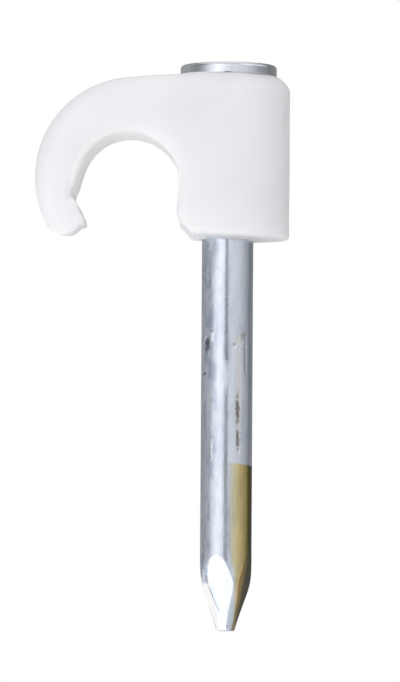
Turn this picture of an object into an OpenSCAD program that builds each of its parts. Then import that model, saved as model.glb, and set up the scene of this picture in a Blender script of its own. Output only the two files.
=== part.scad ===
// Nail-in cable clip: a moulded hook that presses one round cable to a wall, and its nail.
// The wall is the plane z = 0, the nail runs along Z and the cable along Y, on the side of -X.
// All sizes are in millimetres, and all angles in degrees.

/* [Cable] */
// Diameter of the cable that the hook is made for
cable_d = 4; // [3.6:0.2:4.2]
// Height of the cable's axis over the wall, under half its diameter so that the hook presses
cable_z = 1.98; // [1.9:0.02:1.98]
// Distance from the nail's axis to the cable's axis
cable_x = 3.85; // [3.8:0.05:3.95]

/* [Clip] */
// Width of the clip along the cable, which is also the diameter of the boss round the nail
clip_w = 4.8; // [4.6:0.1:5]
// Height of the boss, from the wall to the seat of the nail's head
clip_h = 6.3; // [6.3:0.1:6.6]
// Radius of the hook's outer arc
hook_r = 3.9; // [3.84:0.06:3.9]
// How far the outer arc's centre lies from the cable's axis, towards the nail
hook_in = 0.31; // [0.25:0.06:0.31]
// How far the outer arc's centre lies above the cable's axis, which makes the arm thicker on top
hook_up = 0.26; // [0.2:0.06:0.26]
// Width of the softened outer edges
edge_w = 0.54; // [0.5:0.04:0.54]
// Radius of the shallow arc across a softened edge
edge_arc_r = 1; // [0.9:0.1:1.1]
// Rounding of the cable channel's rims
rim_r = 0.35; // [0.35:0.05:0.4]
// Rounding of the boss's foot
foot_r = 0.15; // [0.1:0.05:0.15]

/* [Mouth] */
// Lean of the boss's wall towards the hook, from where it leaves the cable's seat
wall_lean = 4.5; // [3:1.5:4.5]
// Height of the lead-in bevel at the foot of that wall
lead_h = 0.72; // [0.72:0.08:0.8]
// Width of the lead-in bevel
lead_w = 0.58; // [0.58:0.02:0.6]
// How far the root of the hook's lip lies outside the cable's seat
lip_root = 0.15; // [0.1:0.05:0.2]
// Depth of that root under the cable's axis
lip_drop = 0.5; // [0.5:0.06:0.56]
// Lean of the lip towards the boss, from its root
lip_lean = 26; // [20:6:26]
// Length of the lip's straight face
lip_l = 1.1; // [1.1:0.1:1.2]
// Radius of the hook's rounded tip
tip_r = 0.8; // [0.8:0.05:0.85]
// Gap between the hook's tip and the wall
tip_gap = 0.08; // [0.02:0.06:0.08]
// Rounding of the tip's two corners, seen along X
tip_corner_r = 0.5; // [0.3:0.2:0.5]

/* [Moulding marks] */
// Diameter of the gate's shallow recess on the round side of the boss
gate_d = 0.85; // [0.6:0.05:1]
// Depth of the gate's recess
gate_depth = 0.06; // [0.04:0.01:0.1]
// Height of the gate's middle over the wall
gate_z = 4.4; // [3:0.1:4.8]
// Turn of the gate from +X about the nail
gate_turn = -17; // [-60:1:60]

/* [Nail] */
// Diameter of the nail's wire
nail_d = 2; // [1.8:0.05:2.05]
// Length of the nail, from the top of its head to the end of its point
nail_l = 22; // [20:0.5:30]
// Diameter of the flat head
head_d = 3.75; // [3.5:0.05:3.9]
// Thickness of the head
head_t = 0.43; // [0.36:0.01:0.6]
// Rounding of the head's upper rim
head_top_r = 0.14; // [0.08:0.01:0.18]
// Rounding of the head's lower rim
head_low_r = 0.08; // [0.05:0.01:0.12]
// Length of the four ground faces of the point
point_l = 3.15; // [2.5:0.05:3.5]
// Radius of the shallow curve to which those faces are ground
grind_r = 16; // [12:1:40]
// Width across the faces at the point's blunt end
point_w = 0.62; // [0.5:0.02:0.64]
// Radius of the wire left at the corners of the blunt end
point_corner_r = 0.34; // [0.33:0.01:0.4]
// Length of the point's four corners, which leave the wire lower than the faces
corner_l = 1.8; // [1.6:0.05:2.5]
// Turn of the first ground face from +X about the nail
point_turn = -20.7; // [-45:0.1:45]
// Width of each ring pressed into the wire where the clip hides it
ring_w = 0.6; // [0.55:0.05:0.8]
// Depth of those rings
ring_depth = 0.06; // [0.03:0.01:0.1]
// Number of rings
ring_count = 3; // [1:1:4]

/* [Fit] */
// Clearance between the wire and the clip's bore, on the radius
bore_clear = 0.02; // [0.01:0.01:0.05]

/* [Hidden] */
$fn = 96;
// How far a cutting shape runs past the surface that it cuts
spare = 1;
// Reach of a cutting shape that must pass the whole clip
reach = cable_x + clip_h;
// How far one round runs past the next, so that they cross where they would only touch
lap = 0.002;

cable_r = cable_d / 2;
nail_r = nail_d / 2;
boss_r = clip_w / 2;
seat_at = [-cable_x, cable_z];
hook_at = seat_at + [hook_in, hook_up];

// The boss's wall runs down from the seat to the top of the lead-in bevel
wall_top_z = cable_z - cable_r * sin(wall_lean);
lead_x = -cable_x + cable_r * cos(wall_lean) - (wall_top_z - lead_h) * tan(wall_lean);
// Share of the cable's radius by which the post under the arm passes the cable's axis
post_share = 0.3;
// The post ends there, inside the arm
post_h = cable_z + post_share * cable_r;
// The crown is the arc of the arm's top: level over the nail, and a tangent of the hook's outer arc
crown_lift = clip_h - hook_at.y;
crown_r = (crown_lift ^ 2 + hook_at.x ^ 2 - hook_r ^ 2) / (2 * (crown_lift - hook_r));
crown_turn = asin(-hook_at.x / (crown_r - hook_r));
// The hook is swept from the arm to past its tip, which is then cut to shape
hook_sweep = 145;

// The seat runs out along a tangent to the root of the lip, and the lip ends at a corner
root_r = cable_r + lip_root;
root_turn = 180 + asin(lip_drop / root_r);
root_at = seat_at + root_r * [cos(root_turn), sin(root_turn)];
run_turn = root_turn - acos((cable_r - lap) / root_r);
run_out = seat_at + (cable_r - lap) * [cos(run_turn), sin(run_turn)];
lip_end = root_at + lip_l * [sin(lip_lean), -cos(lip_lean)];
// Turn by which the rounded rims pass the lip's root, before its sharp edges begin
rim_past = 5;
// The tip's circle meets the outer arc from inside and clears the wall by tip_gap
tip_reach = hook_r - tip_r + lap;
tip_turn = asin((hook_at.y - tip_gap - tip_r) / tip_reach);
tip_way = [-cos(tip_turn), -sin(tip_turn)];
tip_at = hook_at + tip_reach * tip_way;
// A straight edge runs from the tip's circle to the lip's corner
to_lip = lip_end - tip_at;
tip_leave = atan2(to_lip.y, to_lip.x) - acos(tip_r / norm(to_lip));
tip_tangent = tip_at + tip_r * [cos(tip_leave), sin(tip_leave)];

point_z = clip_h + head_t - nail_l;
// The curve of a ground face runs from the blunt end up to where it leaves the wire
grind_chord = [nail_r - point_w / 2, point_l];
grind_way = [-grind_chord.y, grind_chord.x] / norm(grind_chord);
grind_in = sqrt(grind_r ^ 2 - (norm(grind_chord) / 2) ^ 2);
grind_at = [point_w / 2, point_z] + grind_chord / 2 + grind_in * grind_way;
ring_pitch = (clip_h - ring_w) / (ring_count + 1);

// Puts a flat drawing, made in X and Z, upright and extends it past both sides of the clip
module across(width) {
    rotate([90, 0, 0]) linear_extrude(width, center = true) children();
}

// Turns a section about an axis along Y: its x is the radius and its y lies along the axis
module about_y(at, from = 0, sweep = 360) {
    translate([at.x, 0, at.y]) rotate([90, 0, 0]) rotate([0, 0, from]) rotate_extrude(angle = sweep)
        children();
}

// Draws a section in Y and Z, and extends it along X
module along_x(length) {
    rotate([90, 0, 90]) linear_extrude(length) children();
}

// What rounding takes off a square corner at the origin that points to +x and +y
module round_off(r) {
    difference() {
        translate([-r, -r]) square(r + spare);
        translate([-r, -r]) circle(r);
    }
}

// The same for the softened edges, whose arc is flatter than a quarter circle
module soft_off() {
    inset = edge_w / 2 + sqrt(edge_arc_r ^ 2 / 2 - edge_w ^ 2 / 4);
    difference() {
        translate([-edge_w, -edge_w]) square(edge_w + spare);
        translate([-inset, -inset]) circle(edge_arc_r);
    }
}

// The arm's section, from its outer radius inwards, with softened outer edges
module arm_section(r) {
    difference() {
        translate([r - hook_r, -boss_r]) square([hook_r, clip_w]);
        for (side = [0, 1]) mirror([0, side]) translate([r, boss_r]) soft_off();
    }
}

// Everything inside and under the hook that isn't its lip or its tip
module around_tip() {
    outside = tip_at + reach * tip_way;
    across(2 * reach) difference() {
        polygon([
            seat_at,
            [seat_at.x, -reach],
            [outside.x, -reach],
            outside,
            tip_at,
            tip_tangent,
            lip_end,
            root_at,
            run_out
        ]);
        translate(tip_at) circle(tip_r);
    }
}

// The frame in which the hook and the arm meet: its z axis passes through the centres of both arcs
module hook_frame() {
    translate([hook_at.x, 0, hook_at.y]) rotate([0, -crown_turn, 0]) children();
}

// The hook, swept round the cable from the arm down to its tongue-shaped tip
module hook() {
    difference() {
        intersection() {
            hook_frame() about_y([0, 0], 90, hook_sweep) arm_section(hook_r);
            translate([-reach, 0, 0]) along_x(2 * reach) difference() {
                translate([-boss_r - spare, 0]) square([clip_w + 2 * spare, reach]);
                for (side = [0, 1]) mirror([side, 0]) translate([boss_r, 0]) mirror([0, 1])
                    round_off(tip_corner_r);
            }
        }
        around_tip();
    }
}

// The arm, swept along its slightly crowned top from the hook to past the nail, and cut off there
module arm() {
    difference() {
        hook_frame() mirror([1, 0, 0]) about_y([0, hook_r - crown_r], 90, 2 * crown_turn)
            arm_section(crown_r);
        translate([-reach, -reach, post_h - 2 * reach]) cube(2 * reach);
        translate([0, -reach, -reach]) cube(2 * reach);
    }
}

// Half of the boss's section, from the nail's axis to its side
module boss_section() {
    difference() {
        square([boss_r, clip_h]);
        translate([boss_r, clip_h]) soft_off();
        translate([boss_r, 0]) mirror([0, 1]) round_off(foot_r);
    }
}

// The boss: round on the far side of the nail, with flat sides under the arm
module boss() {
    rotate([0, 0, -90]) rotate_extrude(angle = 180) boss_section();
    translate([-cable_x + cable_r / 2, 0, 0]) along_x(cable_x - cable_r / 2)
        for (side = [0, 1]) mirror([side, 0]) intersection() {
            boss_section();
            square([boss_r, post_h]);
        }
}

// Half of the channel's section: out to a wall at r, with rounded rims
module channel_section(r) {
    translate([0, -boss_r - spare]) square([r, clip_w + 2 * spare]);
    for (side = [0, 1]) mirror([0, side]) translate([r, boss_r]) mirror([1, 0]) round_off(rim_r);
}

// The cable's channel: from the lip's root over the cable, and on as the boss's leaning wall
module channel() {
    about_y(seat_at, -90, 90 + root_turn + rim_past) channel_section(cable_r);
    translate([-cable_x, 0, cable_z]) rotate([0, wall_lean, 0]) translate([0, 0, -cable_d])
        linear_extrude(cable_d) channel_section(cable_r - lap);
}

// The bevel that leads the cable in past the foot of the boss's wall
module lead_in() {
    slant = [lead_w, -lead_h];
    upper = [lead_x, lead_h] - slant;
    lower = [lead_x, lead_h] + 2 * slant;
    across(2 * reach) polygon([upper, lower, [upper.x, lower.y]]);
}

module gate_recess() {
    rotate([0, 0, gate_turn]) translate([boss_r - gate_depth, 0, gate_z]) rotate([0, 90, 0])
        cylinder(d = gate_d, h = spare);
}

module clip_body() {
    color("whitesmoke") difference() {
        union() {
            hook();
            arm();
            boss();
        }
        channel();
        lead_in();
        translate([0, 0, -spare]) cylinder(r = nail_r + bore_clear, h = clip_h + 2 * spare);
        gate_recess();
    }
}

// The head and the wire as one turned section, with the hidden rings
module nail_blank() {
    rotate_extrude() difference() {
        polygon([
            [0, clip_h + head_t],
            [head_d / 2, clip_h + head_t],
            [head_d / 2, clip_h],
            [nail_r, clip_h],
            [nail_r, point_z + corner_l],
            [point_corner_r, point_z],
            [0, point_z]
        ]);
        translate([head_d / 2, clip_h + head_t]) round_off(head_top_r);
        translate([head_d / 2, clip_h]) mirror([0, 1]) round_off(head_low_r);
        for (i = [0 : ring_count - 1]) translate([nail_r, ring_w / 2 + i * ring_pitch])
            polygon([[0, -ring_w / 2], [0, ring_w / 2], [-ring_depth, 0]]);
    }
}

// One ground face of the point, as the space outside its shallow curve
module ground_face() {
    difference() {
        translate([0, -nail_d, point_z - spare]) cube([nail_d, 2 * nail_d, point_l + 2 * spare]);
        translate([grind_at.x, 0, grind_at.y]) rotate([90, 0, 0])
            cylinder(r = grind_r, h = 3 * nail_d, center = true);
    }
}

module nail() {
    color("lightsteelblue") difference() {
        nail_blank();
        for (turn = [0 : 90 : 270]) rotate([0, 0, turn + point_turn]) ground_face();
    }
}

clip_body();
nail();
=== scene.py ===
import math
import bpy
import numpy as np
from mathutils import Matrix, Vector, noise


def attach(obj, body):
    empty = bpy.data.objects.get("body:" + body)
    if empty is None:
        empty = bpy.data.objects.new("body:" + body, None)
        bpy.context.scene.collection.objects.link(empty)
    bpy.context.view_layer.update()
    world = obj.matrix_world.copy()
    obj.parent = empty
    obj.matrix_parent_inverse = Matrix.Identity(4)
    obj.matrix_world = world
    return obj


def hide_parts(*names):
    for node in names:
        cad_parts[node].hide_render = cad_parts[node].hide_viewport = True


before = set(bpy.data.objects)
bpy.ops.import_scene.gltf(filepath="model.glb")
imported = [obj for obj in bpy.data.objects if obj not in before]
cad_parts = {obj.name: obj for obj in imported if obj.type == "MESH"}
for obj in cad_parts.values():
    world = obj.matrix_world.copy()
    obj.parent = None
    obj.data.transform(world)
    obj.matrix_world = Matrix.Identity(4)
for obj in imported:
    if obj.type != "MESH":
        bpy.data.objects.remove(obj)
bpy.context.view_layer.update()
mm = 0.001
print("frame loaded")


# Shader sums: a Field is a socket that takes part in Python expressions

class Field:
    def __init__(self, finish, socket):
        self.finish = finish
        self.socket = socket

    def sum(self, how, *values):
        return self.finish.node("ShaderNodeMath", {"operation": how}, dict(enumerate(values)))

    def __add__(self, other):
        return self.sum("ADD", self, other)

    def __radd__(self, other):
        return self.sum("ADD", other, self)

    def __sub__(self, other):
        return self.sum("SUBTRACT", self, other)

    def __rsub__(self, other):
        return self.sum("SUBTRACT", other, self)

    def __mul__(self, other):
        return self.sum("MULTIPLY", self, other)

    def __rmul__(self, other):
        return self.sum("MULTIPLY", other, self)

    def __truediv__(self, other):
        return self.sum("DIVIDE", self, other)

    def __rtruediv__(self, other):
        return self.sum("DIVIDE", other, self)

    def __pow__(self, other):
        return self.sum("POWER", self, other)

    def __rpow__(self, other):
        return self.sum("POWER", other, self)

    def __neg__(self):
        return self.sum("MULTIPLY", self, -1)

    def __abs__(self):
        return self.sum("ABSOLUTE", self)

    def least(self, other):
        return self.sum("MINIMUM", self, other)

    def most(self, other):
        return self.sum("MAXIMUM", self, other)

    def rise(self, low, high):  # 0 below low, 1 above high, smooth between
        return self.finish.node("ShaderNodeMapRange", {"interpolation_type": "SMOOTHSTEP"},
                                {"Value": self, "From Min": low, "From Max": high}, "Result")


def plug(tree, slot, value):
    if isinstance(value, Field):
        tree.links.new(value.socket, slot)
    elif slot.type == "RGBA" and len(value) == 3:
        slot.default_value = (*value, 1)
    else:
        slot.default_value = value


class Finish:  # the nodes of one material, or of the room
    def __init__(self, name, owner=None):
        self.owner = owner or bpy.data.materials.new(name)
        self.owner.use_nodes = True
        self.tree = self.owner.node_tree
        self.tree.nodes.clear()
        self.out = self.tree.nodes.new("ShaderNodeOutputWorld" if owner else "ShaderNodeOutputMaterial")

    def node(self, kind, settings, sockets, output=0):
        made = self.tree.nodes.new(kind)
        for name, value in settings.items():
            if name == "stops":
                ramp = made.color_ramp
                while len(ramp.elements) < len(value):
                    ramp.elements.new(1)
                for element, (at, colour) in zip(ramp.elements, value):
                    element.position = at
                    element.color = (*colour, 1)
            else:
                setattr(made, name, value)
        for name, value in sockets.items():
            plug(self.tree, made.inputs[name], value)
        return Field(self, made.outputs[output])

    def place(self):  # object position in millimetres
        where = self.node("ShaderNodeTexCoord", {}, {}, "Object")
        return self.node("ShaderNodeVectorMath", {"operation": "SCALE"}, {0: where, "Scale": 1 / mm})

    def parts(self, where):
        return [self.node("ShaderNodeSeparateXYZ", {}, {0: where}, axis) for axis in "XYZ"]

    def stretched(self, where, scale):
        return self.node("ShaderNodeVectorMath", {"operation": "MULTIPLY"}, {0: where, 1: scale})

    def noise(self, where, size, detail=3, rough=0.5):
        return self.node("ShaderNodeTexNoise", {}, {"Vector": where, "Scale": 1 / size, "Detail": detail,
                                                    "Roughness": rough}, "Fac")

    def blend(self, factor, first, second, how="MIX"):
        return self.node("ShaderNodeMix", {"data_type": "RGBA", "blend_type": how},
                         {0: factor, 6: first, 7: second}, 2)

    def ramp(self, value, stops):  # colours at values of the driving field
        low, high = stops[0][0], stops[-1][0]
        placed = [((at - low) / (high - low), colour) for at, colour in stops]
        return self.node("ShaderNodeValToRGB", {"stops": placed}, {"Fac": (value - low) / (high - low)})

    def bump(self, height, depth, strength=1):
        return self.node("ShaderNodeBump", {}, {"Height": height, "Distance": depth, "Strength": strength})

    def shell(self, sockets):
        shader = self.node("ShaderNodeBsdfPrincipled", {}, sockets)
        self.tree.links.new(shader.socket, self.out.inputs["Surface"])
        return self.owner


def addPiece(name, points, faces, material, smooth=True):
    mesh = bpy.data.meshes.new(name)
    mesh.from_pydata([tuple(p) for p in points], [], [tuple(f) for f in faces])
    mesh.update()
    if smooth:
        mesh.polygons.foreach_set("use_smooth", [True] * len(mesh.polygons))
    mesh.materials.append(material)
    made = bpy.data.objects.new(name, mesh)
    bpy.context.scene.collection.objects.link(made)
    return made


def softStep(x, low, high):
    t = np.clip((x - low) / (high - low), 0, 1)
    return t * t * (3 - 2 * t)


# The moulded clip

clip = {
    "voxel": 0.06,            # size of the remesh, mm
    "melt": 34,               # passes that melt the mould's edges
    "tipMelt": 8,             # more of them at the hook's tip
    # how much of an edge the melting spares
    "crisp": {"bore": 0.9, "lip": 0.95, "tip": 0.6, "shoulder": 0.97, "foot": 0.93, "gate": 0.85},
    "tipCorner": (1.9, 0.58),  # width from the middle and height at which the tip's corners begin
    "tipSquare": 1.0,         # how square the front one is made, up to 1
    "partingZ": 2.6,          # height of the mould's parting line on the hook
    "partingRidge": 0.022,    # how far that line stands proud
    "wave": 0.012,            # slow waves of the moulded faces
    "nibAt": (-5.46, -2.2, 0.44), "nibWay": (0.03, -0.02, -0.2), "nibSize": 0.12,
    "gateAt": (2.27, -0.69, 4.4),
    "baseLean": 0.035,        # how much lower the foot is a millimetre further right
    "lipWarp": [              # height, and how far the inner wall and lip stand right of the CAD's there
        (0.25, 0), (0.35, -0.03), (0.45, -0.03), (0.55, 0), (0.665, -0.015), (0.974, -0.18),
        (1.256, -0.22), (1.55, -0.17), (1.93, -0.005), (2.5, 0.08), (3.3, 0.06), (4, 0)],
    "lipSkew": -0.1,          # the same at the back of the lip's lower end
    "tipLift": (0.05, 0.08),  # how much higher the tip's foot is a millimetre further back, and at its right
    "lipLine": ((-5.78, 1.15), (-5.4, 0.4)),  # the lip's crisp front edge: x and z of its ends
    "swell": 0.06,            # plastic pressed up round the nail's head
    "flash": 0.11,            # thin flash round the nail at the foot
    "colour": (0.836, 0.836, 0.867),
    "shade": (0.81, 0.81, 0.842),
    "seatAt": (-3.87, 1.94),  # x and z of the cable's middle
    "seatEdge": (2.02, 2.26),  # radii between which the seat's colour fades out
    "seatLitColour": (0.985, 0.985, 0.99),  # paler, for the light that comes through the wall there
    "roughness": 0.46,
}


def plasticFinish():
    finish = Finish("whitePlastic")
    where = finish.place()
    x, _, z = finish.parts(where)
    cloud = finish.noise(where, 2.6, 3)
    grain = finish.noise(where, 0.09, 2)
    colour = finish.blend(cloud.rise(0.35, 0.7), clip["colour"], clip["shade"])
    across, up = x - clip["seatAt"][0], z - clip["seatAt"][1]
    # painted light: the cable's seat is painted paler, as if lit through the thin wall
    seatGlow = (1 - ((across * across + up * up) ** 0.5).rise(*clip["seatEdge"])) * z.rise(1, 1.5)
    colour = finish.blend(seatGlow * (1 - x.rise(-5.4, -3.2) * 0.6), colour, clip["seatLitColour"])
    roughness = clip["roughness"] + (cloud - 0.5) * 0.12 + (grain - 0.5) * 0.08
    relief = finish.bump(grain + cloud * 2, 0.004 * mm, 0.35)
    return finish.shell({
        "Base Color": colour, "Roughness": roughness, "Normal": relief, "IOR": 1.5,
        "Subsurface Weight": 0.8, "Subsurface Radius": (1, 0.98, 0.95), "Subsurface Scale": 1.5 * mm,
    })


def remeshed(source, voxel):  # a copy of a CAD node in even quads, in millimetres
    work = source.data.copy()
    work.transform(Matrix.Scale(1 / mm, 4))
    holder = bpy.data.objects.new("remeshWork", work)
    bpy.context.scene.collection.objects.link(holder)
    step = holder.modifiers.new("even", "REMESH")
    step.mode = "VOXEL"
    step.voxel_size = voxel
    even = bpy.data.meshes.new_from_object(holder.evaluated_get(bpy.context.evaluated_depsgraph_get()))
    bpy.data.objects.remove(holder)
    bpy.data.meshes.remove(work)
    points = np.zeros(len(even.vertices) * 3)
    even.vertices.foreach_get("co", points)
    faces = [tuple(p.vertices) for p in even.polygons]
    edges = np.zeros(len(even.edges) * 2, int)
    even.edges.foreach_get("vertices", edges)
    bpy.data.meshes.remove(even)
    return points.reshape(-1, 3), faces, edges.reshape(-1, 2)


def melted(points, edges, passes, share):  # rounds every edge a little, by as much as share says
    count = np.bincount(edges.ravel(), minlength=len(points))[:, None]
    for _ in range(passes):
        total = np.zeros_like(points)
        np.add.at(total, edges[:, 0], points[edges[:, 1]])
        np.add.at(total, edges[:, 1], points[edges[:, 0]])
        points = points + 0.5 * share[:, None] * (total / count - points)
    return points


def outward(points, faces):
    quads = np.array(faces)
    across = np.cross(points[quads[:, 2]] - points[quads[:, 0]], points[quads[:, 3]] - points[quads[:, 1]])
    total = np.zeros_like(points)
    for corner in range(4):
        np.add.at(total, quads[:, corner], across)
    return total / np.linalg.norm(total, axis=1)[:, None]


def mouldMarks(points, faces):  # waves, parting line, flash and nib, as real relief
    out = outward(points, faces)
    x, y, z = points.T
    wave = np.array([noise.noise(Vector(q) * 0.55) for q in points])
    lift = clip["wave"] * wave
    ridge = np.exp(-((z - clip["partingZ"]) / 0.05) ** 2) * softStep(-x, 6.2, 6.9)
    lift += clip["partingRidge"] * ridge * (0.6 + 0.4 * np.abs(out[:, 0]))
    points = points + out * lift[:, None]
    ring = np.hypot(x, y)
    ragged = np.array([noise.noise(Vector((math.cos(t) * 3, math.sin(t) * 3, 5))) for t in np.arctan2(y, x)])
    burr = softStep(-z, -0.12, -0.02) * softStep(-ring, -1.35, -1.12) * (0.85 + 0.5 * ragged)
    points[:, 2] -= clip["flash"] * np.maximum(burr, 0)
    rim = softStep(ring, 1.8, 1.95) * softStep(-ring, -2.35, -2.1)
    points[:, 2] += clip["swell"] * (rim * softStep(z, 5.9, 6.2) * softStep(-x, -1.2, -0.4))
    points[:, 2] -= clip["baseLean"] * x * softStep(-z, -0.6, -0.1) * softStep(x, -2.6, -2)
    near = np.linalg.norm(points - np.array(clip["nibAt"]), axis=1)
    return points + np.exp(-(near / clip["nibSize"]) ** 2)[:, None] * np.array(clip["nibWay"])


def meltShares(points):  # how much each point melts at first, and in the tip's own passes
    x, y, z = points.T
    start, end = (np.array(q) for q in clip["lipLine"])
    plan = points[:, [0, 2]] - start
    along = np.clip(plan @ (end - start) / ((end - start) @ (end - start)), 0, 1)
    crisp = {
        "bore": softStep(-np.hypot(x, y), -1.3, -1.1),
        "lip": softStep(-np.linalg.norm(plan - along[:, None] * (end - start), axis=1), -0.5, -0.25),
        "tip": softStep(-x, 4.9, 5.4) * softStep(-z, -1.5, -0.9),
        "shoulder": softStep(x, 0, 0.8) * softStep(z, 5, 5.5),
        "foot": softStep(-z, -0.6, -0.3) * softStep(x, -1.6, -1.2),
        "gate": softStep(-np.linalg.norm(points - np.array(clip["gateAt"]), axis=1), -0.75, -0.5),
    }
    spared = np.maximum.reduce([clip["crisp"][name] * near for name, near in crisp.items()])
    return 1 - spared, crisp["tip"] * (1 - crisp["lip"])


def squareTip(points):  # the tip's front corner is squarer than the CAD's
    wide, high = clip["tipCorner"]
    x, y, z = points.T.copy()
    out, down = np.abs(y) - wide, high - z
    square = np.hypot(out, down) / np.maximum(np.maximum(out, down), 1e-6)
    more = np.where((out > 0) & (down > 0) & (y < 0), square ** clip["tipSquare"] - 1, 0)
    more = more * softStep(-x, 4.9, 5.2)
    points[:, 1] -= out * more
    points[:, 2] -= down * more


def straightLip(points):  # the lip's face is straighter than the CAD's, and the tip a little skew
    x, y, z = points.T.copy()
    warp = np.interp(z, *np.array(clip["lipWarp"]).T) * softStep(x, -6.6, -5.9) * softStep(-x, 4.4, 4.9)
    skew = clip["lipSkew"] * softStep(y, 0, 2) * softStep(-z, -0.8, -0.5) * softStep(x, -6.1, -5.6)
    points[:, 0] += warp + skew
    backward, right = clip["tipLift"]
    lift = backward * y + right * softStep(x, -6.2, -5.6)
    points[:, 2] += lift * softStep(-z, -0.7, -0.15) * softStep(-x, 4.4, 4.9)


def clipPiece():
    points, faces, edges = remeshed(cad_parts["clip_body"], clip["voxel"])
    share, tipShare = meltShares(points)
    squareTip(points)
    points = melted(points, edges, clip["melt"], share)
    points = melted(points, edges, clip["tipMelt"], tipShare)
    straightLip(points)
    points = mouldMarks(points, faces)
    made = addPiece("moulded_clip", points * mm, faces, plasticFinish())
    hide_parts("clip_body")
    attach(made, "root")


# The zinc-plated nail

nail = {
    "wireR": 1.0, "headR": 1.875, "headTop": 6.73, "headLow": 6.3, "topRound": 0.14, "lowRound": 0.02,
    "topRings": (0.35, 0.7, 1.05, 1.4, 1.6), "lowRings": (1.5, 1.2),  # radii of the rings on the head's flats
    "pointZ": -15.27, "pointL": 3.15, "pointW": 0.62, "grindR": 16, "pointTurn": -110.7,
    "cornerR": 0.357, "cornerL": 1.8, "cornerFlare": 1.2, "coneRound": 0.16,
    "frontGrindR": 200, "frontL": 2.95,  # the front face is flat and shorter
    "bluntTurn": -55, "bluntLess": 0.14, "bluntL": 2.9,  # the one corner that is rounder
    "columns": 256, "edgeRound": 0.016, "endRound": 0.05,
    "rows": [(6.3, 0.5), (0.3, 0.06), (-3, 0.045), (-9, 0.08), (-11.9, 0.03)],  # spacing below each height
    "zinc": (0.68, 0.725, 0.81),
    "dull": (0.45, 0.51, 0.615),
    # bluish mottling of the left side: partly tarnish, partly painted shade
    "tarnishAndShade": (0.42, 0.475, 0.59),
    "bare": (0.8, 0.82, 0.86),      # fresh metal on burrs and chips
    "head": (0.69, 0.71, 0.755),    # the head's less blue plating
    "grey": (0.69, 0.68, 0.68),     # scars
    "gloom": (0.11, 0.125, 0.155),  # painted shade in the dent and the nick
    "dark": (0.17, 0.155, 0.135),   # dirt in the dents
    "paintedCornerSheen": (0.87, 0.86, 0.855),  # painted highlight on the corner left of the front face
    "stainShadeFacet": (0.55, 0.43, 0.2),     # what the stain and painted shade leave on the right ground face
    "roughness": 0.14,
    "edgeLine": {"x": -0.663, "z": -13.5, "lean": -0.415, "end": -14.6, "half": 0.02},  # a dark line
    "stainTop": -8.75,
    "stainAndShade": [  # turn to the right of the camera's side, and what the stain leaves of the colour; its darkening toward the right edge is painted shade
        (4, (0.86, 0.86, 0.83)), (10, (0.84, 0.81, 0.7)), (20, (0.98, 0.84, 0.47)),
        (30, (0.95, 0.72, 0.34)), (40, (0.94, 0.69, 0.3)), (53, (0.66, 0.52, 0.167)),
        (62, (0.3, 0.235, 0.06)), (71, (0.09, 0.07, 0.014)), (150, (0.09, 0.07, 0.014))],
    "marks": {  # turn, height, half width in degrees, half height in mm, depth in mm
        "dent": (-50, -4.13, 9, 0.27, 0.035),
        "burr": (-35.5, -3.83, 5, 0.24, -0.015),
        "nick": (-60, -5.28, 6, 0.08, 0.03),
        "bruise": (30, -4.08, 12, 0.26, 0.01),
        "pit": (18, -4.19, 4, 0.08, 0.015),
        "bruiseTop": (40, -3.88, 5.5, 0.17, 0.01),
        "crease": (46.5, -4.5, 2.6, 0.75, 0.02),
        "scar": (28, -6.4, 7.5, 2.3, 0.006),
        "fleckHigh": (27, -6.75, 4.5, 0.55, 0.025),
        "fleckLow": (27.5, -7.85, 4, 0.4, 0.025),
        "chips": (-35, -8.2, 3.5, 0.5, -0.012),
        "speck": (-48, -0.33, 3, 0.1, 0.008),
        "cornerChip": (-57, -13.25, 6, 0.2, 0.015),
        "cornerBurr": (-65, -12.98, 5, 0.14, -0.01),
        "tipSpot": (10, -15.08, 6, 0.05, 0.008),
        "rub": (-1, -5.4, 9, 0.55, 0),
    },
}


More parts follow.
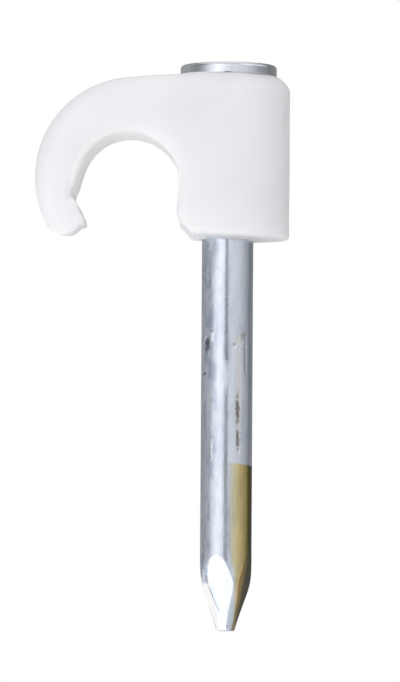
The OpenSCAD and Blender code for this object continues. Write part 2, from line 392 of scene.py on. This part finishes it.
def zincFinish():
    finish = Finish("zincSteel")
    where = finish.place()
    x, y, z = finish.parts(where)
    turn = finish.node("ShaderNodeMath", {"operation": "ARCTAN2"}, {0: x, 1: -y}) * (180 / math.pi)
    streak = finish.noise(finish.stretched(where, (1, 1, 0.12)), 0.2, 4, 0.6)
    blotch = finish.noise(finish.stretched(where, (1, 1, 0.3)), 0.75, 4, 0.62)
    speck = finish.noise(where, 0.11, 3, 0.6)
    ragged = finish.noise(finish.stretched(where, (1, 1, 0.6)), 0.07, 3, 0.65)
    torn = finish.noise(finish.stretched(where, (1, 1, 0.4)), 0.3, 3, 0.6)
    top = z.rise(6.1, 6.3)  # the head

    def mark(name, rough=0.9):  # a ragged oval on the wire
        atTurn, atZ, halfTurn, halfZ, _ = nail["marks"][name]
        sway = (torn - 0.5) * rough * 16
        off = (((turn + sway - atTurn) / halfTurn) ** 2 + ((z - atZ) / halfZ) ** 2) ** 0.5
        return (off + (ragged - 0.5) * rough * 3.2).rise(1.4, 0.5)

    worn = blotch.rise(0.42, 0.7) * 0.55 + streak.rise(0.45, 0.75) * 0.45
    colour = finish.blend(worn, nail["zinc"], nail["dull"])
    mottle = finish.noise(finish.stretched(where, (1, 1, 0.45)), 0.34, 3, 0.55).rise(0.45, 0.68)
    # bluish mottling on the left side only, where the wire lies in shade: partly tarnish, partly painted
    # shade
    colour = finish.blend(mottle * x.rise(-0.1, -0.6) * 0.85, colour, nail["tarnishAndShade"])
    pale = mark("scar").most(mark("bruise", 0.7)) * (0.5 + speck * 0.5)
    colour = finish.blend(pale.least(1.0), colour, nail["grey"])
    fresh = mark("burr", 0.6).most(mark("chips")).most(mark("cornerBurr"))
    colour = finish.blend(fresh * 0.6, colour, nail["bare"])
    # painted shade: the dent and the nick painted dark
    colour = finish.blend(mark("dent", 0.4).most(mark("nick", 0.5)) * 0.9, colour, nail["gloom"])
    faint = (mark("pit", 0.5) * 0.45).most(mark("crease") * 0.4).most(mark("speck") * 0.5)
    faint = faint.most(mark("cornerChip") * 0.4).most(mark("tipSpot", 0.4) * 0.6)
    dirt = mark("fleckHigh").most(mark("fleckLow")).most(faint).most(mark("bruiseTop", 0.6) * 0.4)
    colour = finish.blend(dirt * (0.7 + speck * 0.3).least(1.0), colour, nail["dark"])
    colour = finish.blend(top * 0.75, colour, nail["head"])
    slope = nail["edgeLine"]
    aside = abs(x - slope["x"] - (z - slope["z"]) * slope["lean"])
    line = aside.rise(slope["half"] * 1.5, slope["half"] * 0.5) * z.rise(slope["end"], slope["end"] + 0.2)
    line = line * z.rise(slope["z"] + 0.05, slope["z"] - 0.1) * y.rise(0.1, -0.1)
    colour = finish.blend(line * 0.6, colour, nail["dark"])
    # olive-brown stain below its top edge; the ramp by turn darkens it toward the right edge, which is
    # painted shade
    edge = z - nail["stainTop"] + x * 0.11 + (speck - 0.5) * 0.07
    spared = z.rise(-11.9, -13.2) * 0.27  # the front ground face stays bright
    stainAndShade = (x - spared + (blotch - 0.5) * 0.1).rise(0.0, 0.2) * edge.rise(0.05, -0.05)
    tint = finish.ramp(turn, nail["stainAndShade"])
    colour = finish.blend(stainAndShade, colour, finish.blend(1.0, colour, tint, "MULTIPLY"))
    rightward, _, upward = finish.parts(finish.node("ShaderNodeTexCoord", {}, {}, "Normal"))
    # stain and painted shade: faces turned right, away from the light, are painted darker brown
    stainShadeFacet = rightward.rise(0.55, 0.75) * upward.rise(-0.05, -0.1)  # the right ground face
    colour = finish.blend(stainShadeFacet, colour, finish.blend(1.0, colour, nail["stainShadeFacet"], "MULTIPLY"))
    # painted highlight: faces of the point turned left and down are painted brighter
    paintedCornerSheen = rightward.rise(-0.45, -0.6) * rightward.rise(-0.97, -0.84) * upward.rise(-0.14, -0.22)
    colour = finish.blend(paintedCornerSheen * (1 - line) * z.rise(-13.35, -13.5), colour, nail["paintedCornerSheen"])
    dulled = mark("rub", 0.5) * 0.2 + z.rise(-5, -6.5) * 0.04 - top * 0.05
    roughness = nail["roughness"] + worn * 0.12 + (speck - 0.5) * 0.08 + pale * 0.2 + dirt * 0.2 + dulled
    relief = finish.bump((streak + speck * 0.3 + blotch) * (1 - top * 0.8), 0.008 * mm, 0.8)
    return finish.shell({"Base Color": colour, "Metallic": 1.0, "Roughness": roughness, "Normal": relief})


def wearDepth(turn, z):  # how deep the marks lie under the wire's surface
    angle = (np.degrees(turn) + 90 + 180) % 360 - 180
    ragged = np.array([noise.noise(Vector((t * 0.22, z * 9, 0))) for t in angle])
    depth = np.zeros_like(turn)
    for atTurn, atZ, halfTurn, halfZ, deep in nail["marks"].values():
        if abs(z - atZ) < 1.6 * halfZ + 0.1:
            off = np.hypot((angle - atTurn) / halfTurn, (z - atZ) / halfZ) + 0.7 * ragged
            depth += deep * softStep(-off, -1.2, -0.5)
    return depth


def wireRadius(turn, z):  # the wire and its four-sided point, edges slightly rounded
    up = max(z - nail["pointZ"], 0)
    cone = nail["cornerR"] + (nail["wireR"] - nail["cornerR"]) * (up / nail["cornerL"]) ** nail["cornerFlare"]
    soft = max(nail["coneRound"] - abs(cone - nail["wireR"]), 0) / nail["coneRound"]
    radius = np.full_like(turn, min(cone, nail["wireR"]) - soft ** 2 * nail["coneRound"] / 4)
    blunt = np.maximum(np.cos(turn - math.radians(nail["bluntTurn"] - 90)), 0) ** 12
    radius = radius - nail["bluntLess"] * blunt * math.sin(math.pi * min(up / nail["bluntL"], 1)) ** 2
    far = 9  # well outside the wire
    for k in range(4):
        bend, high = (nail["grindR"], nail["pointL"]) if k else (nail["frontGrindR"], nail["frontL"])
        chord = np.array([nail["wireR"] - nail["pointW"] / 2, high])  # of a ground face's shallow curve
        way = np.array([-chord[1], chord[0]]) / np.hypot(*chord)
        centre = chord / 2 + way * math.sqrt(bend ** 2 - (chord @ chord) / 4)
        reach = far
        if up < 4:
            reach = nail["pointW"] / 2 + centre[0] + math.sqrt(bend ** 2 - (up - centre[1]) ** 2)
        away = np.cos(turn - math.radians(nail["pointTurn"] + 90 * k))
        face = np.where(away > 0.3, reach / np.maximum(away, 0.3), far)
        gap = np.clip(0.5 + (face - radius) / (2 * nail["edgeRound"]), 0, 1)
        radius = face * (1 - gap) + radius * gap - nail["edgeRound"] * gap * (1 - gap)
    return radius


def headRings():  # radius and height, from near the top's middle round to the wire
    radius, top, low = nail["headR"], nail["headTop"], nail["headLow"]
    upper, lower = nail["topRound"], nail["lowRound"]
    rings = [(r, top) for r in nail["topRings"]]
    rings += [(radius - upper * (1 - math.cos(a)), top - upper * (1 - math.sin(a)))
              for a in np.radians(np.linspace(90, 0, 9))]
    rings += [(radius, z) for z in np.linspace(top - upper, low + lower, 8)[1:-1]]
    rings += [(radius - lower * (1 - math.cos(a)), low + lower * (1 + math.sin(a)))
              for a in np.radians(np.linspace(0, -90, 7))]
    return rings + [(r, low) for r in nail["lowRings"]]


def wireRings(turns):  # the same for the wire and the point, with a radius for each turn
    end, soft = nail["pointZ"], nail["endRound"]
    starts = [z for z, _ in nail["rows"]] + [end + soft + 0.01]
    rings = []
    for (top, step), low in zip(nail["rows"], starts[1:]):
        rings += [(wireRadius(turns, z) - wearDepth(turns, z), z) for z in np.arange(top, low, -step)]
    for a in np.radians(np.linspace(0, 90, 5)):
        z = end + soft * (1 - math.sin(a))
        rings.append((wireRadius(turns, z) - soft * (1 - math.cos(a)), z))
    return rings + [(wireRadius(turns, end) * 0.5, end)]


def nailPiece():
    columns = nail["columns"]
    turns = np.linspace(0, 2 * math.pi, columns, endpoint=False)
    rings = [(np.full(columns, r), z) for r, z in headRings()] + wireRings(turns)
    points = [(0, 0, nail["headTop"])]
    for radius, z in rings:
        points += [(r * math.cos(t), r * math.sin(t), z) for r, t in zip(radius, turns)]
    points.append((0, 0, nail["pointZ"]))
    faces = []
    last = len(points) - 1
    for c in range(columns):
        d = (c + 1) % columns
        faces.append((0, 1 + c, 1 + d))
        for row in range(len(rings) - 1):
            a, b = 1 + row * columns, 1 + (row + 1) * columns
            faces.append((a + c, b + c, b + d, a + d))
        b = 1 + (len(rings) - 1) * columns
        faces.append((b + d, b + c, last))
    made = addPiece("zinc_nail", np.array(points) * mm, faces, zincFinish())
    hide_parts("nail")
    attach(made, "root")


clipPiece()
print("clip made")
nailPiece()
print("nail made")


# Camera, stage and light

camera = {
    "yaw": 1.69, "rise": -3.0, "roll": 0.36,        # degrees
    "away": 233, "scale": 25.7,                     # mm from the nail, pixels a millimetre
    "origin": (227.7, 238.3), "frame": (400, 682),  # pixels
}


def addCamera():
    yaw, rise, roll = (math.radians(camera[k]) for k in ("yaw", "rise", "roll"))
    back = Vector((math.sin(yaw) * math.cos(rise), -math.cos(yaw) * math.cos(rise), math.sin(rise)))
    right = (-back).cross(Vector((0, 0, 1))).normalized()
    up = right.cross(-back)
    right, up = math.cos(roll) * right + math.sin(roll) * up, math.cos(roll) * up - math.sin(roll) * right
    across = (camera["origin"][0] - camera["frame"][0] / 2) / camera["scale"]
    down = (camera["origin"][1] - camera["frame"][1] / 2) / camera["scale"]
    data = bpy.data.cameras.new("photoCamera")
    data.sensor_width = 36
    data.lens = camera["scale"] * camera["away"] / camera["frame"][1] * data.sensor_width
    data.clip_start, data.clip_end = 0.01, 10
    made = bpy.data.objects.new("photoCamera", data)
    spot = (back * camera["away"] - right * across + up * down) * mm
    made.matrix_world = Matrix((right, up, back)).transposed().to_4x4()
    made.location = spot
    bpy.context.scene.collection.objects.link(made)
    bpy.context.scene.camera = made


stage = {
    "floorZ": -32, "floorHalf": 450, "floorColour": (0.86, 0.86, 0.86),
    "cardAway": 900, "cardHalf": (70, 110),
    "world": (0.46, 0.24),  # the room's brightness on the left and on the right
}


def flat(name, centre, along, up, half, material):  # a rectangle, all in millimetres
    centre, along, up = Vector(centre), Vector(along), Vector(up)
    corners = [(centre + along * half[0] * a + up * half[1] * b) * mm
               for a, b in ((-1, -1), (1, -1), (1, 1), (-1, 1))]
    made = addPiece(name, corners, [(0, 1, 2, 3)], material, False)


def addStage():
    floor = Finish("paleFloor")
    tone = floor.noise(floor.place(), 60, 2)
    shade = tuple(c * 0.97 for c in stage["floorColour"])
    flat("floor", (0, 0, stage["floorZ"]), (1, 0, 0), (0, 1, 0), (stage["floorHalf"],) * 2, floor.shell(
        {"Base Color": floor.blend(tone, stage["floorColour"], shade), "Roughness": 0.8}))
    card = Finish("whiteCard")
    ray = [card.node("ShaderNodeLightPath", {}, {}, name)
           for name in ("Is Camera Ray", "Is Glossy Ray", "Is Transmission Ray")]
    glow = card.node("ShaderNodeEmission", {}, {"Color": (1, 1, 1), "Strength": 1.0})
    paper = card.node("ShaderNodeBsdfDiffuse", {}, {"Color": (0.9, 0.9, 0.9)})
    seen = card.node("ShaderNodeMixShader", {}, {0: ray[0].most(ray[1]).most(ray[2]), 1: paper, 2: glow})
    card.tree.links.new(seen.socket, card.out.inputs["Surface"])
    flat("card", (0, stage["cardAway"], 20), (1, 0, 0), (0, 0, 1), stage["cardHalf"], card.owner)
    room = Finish("studioRoom", bpy.data.worlds.new("studioRoom"))
    side = room.parts(room.node("ShaderNodeTexCoord", {}, {}, "Generated"))[0]
    left, right = stage["world"]
    tone = (left + right) / 2 + side * ((right - left) / 2)
    sky = room.node("ShaderNodeBackground", {}, {"Color": tone, "Strength": 1.0})
    room.tree.links.new(sky.socket, room.out.inputs["Surface"])
    bpy.context.scene.world = room.owner


lights = {
    "wallAway": 300, "wallLow": -31, "wallHigh": 285,  # the curved light wall before the object, mm
    "wallGlow": [  # azimuth from the camera's side to the right, radiance
        (-105, 0.55), (-84, 0.54), (-72, 0.76), (-58, 1.1), (-44, 1.28), (-34, 1.32), (-22, 1.22),
        (-12, 1.06), (-3, 0.96), (10, 0.87), (46, 0.8), (62, 0.77), (78, 0.62), (96, 0.48), (110, 0.45)],
    "highGlow": [  # the same above the level that the nail's shank mirrors
        (-105, 0.36), (-98, 0.36), (-78, 0.27), (-60, 0.53), (-44, 1.0), (-29, 1.44), (-14, 1.34),
        (0, 1.13), (14, 1.0), (29, 0.96), (43, 0.85), (59, 0.67), (76, 0.43), (95, 0.33), (110, 0.3)],
    "highFrom": (24, 30),              # the heights between which one passes into the other
    "lens": (-1.2, 7.5, 4.5, 0.15),    # the camera's gap: azimuth, half width, softness, radiance
    "sideTurn": (30, 55), "sideHeight": (70, 110), "sideGlow": 0.7,  # more light high on the right
    "table": [(-170, -210), (150, -210), (150, -4), (-6, -4), (-6, 90), (-170, 90)],  # a glowing sheet
    "tableGlow": 1.1,
    "tableDim": 0.4,                   # how much darker it is on the right
    "strip": (-43, 14, 112, 7, 0.65),  # its brighter strip: azimuth, start, end, half width, more radiance
    "ceiling": (300, 200, 1.05),       # height, half side and radiance
    "strength": 1.0,                   # of all panels together
}


def glowing(name, points, faces, radiance):
    glow = Finish(name)
    shine = glow.node("ShaderNodeEmission", {}, {"Color": radiance(glow), "Strength": lights["strength"]})
    glow.tree.links.new(shine.socket, glow.out.inputs["Surface"])
    panel = addPiece(name, [[c * mm for c in p] for p in points], faces, glow.owner, False)
    panel.visible_camera = False
    panel.visible_shadow = False


def wallGlow(glow):  # radiance by azimuth
    x, y, z = glow.parts(glow.place())
    turn = glow.node("ShaderNodeMath", {"operation": "ARCTAN2"}, {0: x, 1: -y}) * (180 / math.pi)
    at, half, soft, dim = lights["lens"]
    gap = abs(turn - at).rise(half + soft, half - soft)
    low = glow.blend(gap, glow.ramp(turn, [(a, (g,) * 3) for a, g in lights["wallGlow"]]), (dim,) * 3)
    high = glow.ramp(turn, [(a, (g,) * 3) for a, g in lights["highGlow"]])
    lamp = turn.rise(*lights["sideTurn"]) * z.rise(*lights["sideHeight"]) * lights["sideGlow"]
    return glow.blend(1.0, glow.blend(z.rise(*lights["highFrom"]), low, high), lamp, "ADD")


def tableGlow(glow):  # even, with the strip, and darker on the right
    x, y, _ = glow.parts(glow.place())
    azimuth, start, end, half, more = lights["strip"]
    wayX, wayY = math.sin(math.radians(azimuth)), -math.cos(math.radians(azimuth))
    along = x * wayX + y * wayY
    aside = abs(x * wayY - y * wayX)
    strip = along.rise(start, start + 10) * along.rise(end + 15, end - 15)
    strip = strip * aside.rise(half * 1.8, half * 0.6)
    return lights["tableGlow"] * (1 - lights["tableDim"] * x.rise(-20, 50)) + more * strip


def addLights():
    away = lights["wallAway"]
    turns = np.radians(np.linspace(lights["wallGlow"][0][0], lights["wallGlow"][-1][0], 60))
    ends = lights["wallLow"], lights["wallHigh"]
    points = [(away * math.sin(t), -away * math.cos(t), z) for t in turns for z in ends]
    faces = [(2 * i, 2 * i + 1, 2 * i + 3, 2 * i + 2) for i in range(len(turns) - 1)]
    glowing("lightWall", points, faces, wallGlow)
    sheet = [(x, y, lights["wallLow"]) for x, y in lights["table"]]
    glowing("lightTable", sheet, [range(len(sheet))], tableGlow)
    top, half, glow = lights["ceiling"]
    corners = [(-half, -half, top), (half, -half, top), (half, half, top), (-half, half, top)]
    glowing("ceiling", corners, [(3, 2, 1, 0)], lambda panel: (glow,) * 3)


addCamera()
addStage()
addLights()
bpy.context.scene.view_settings.view_transform = "Standard"
print("stage set")
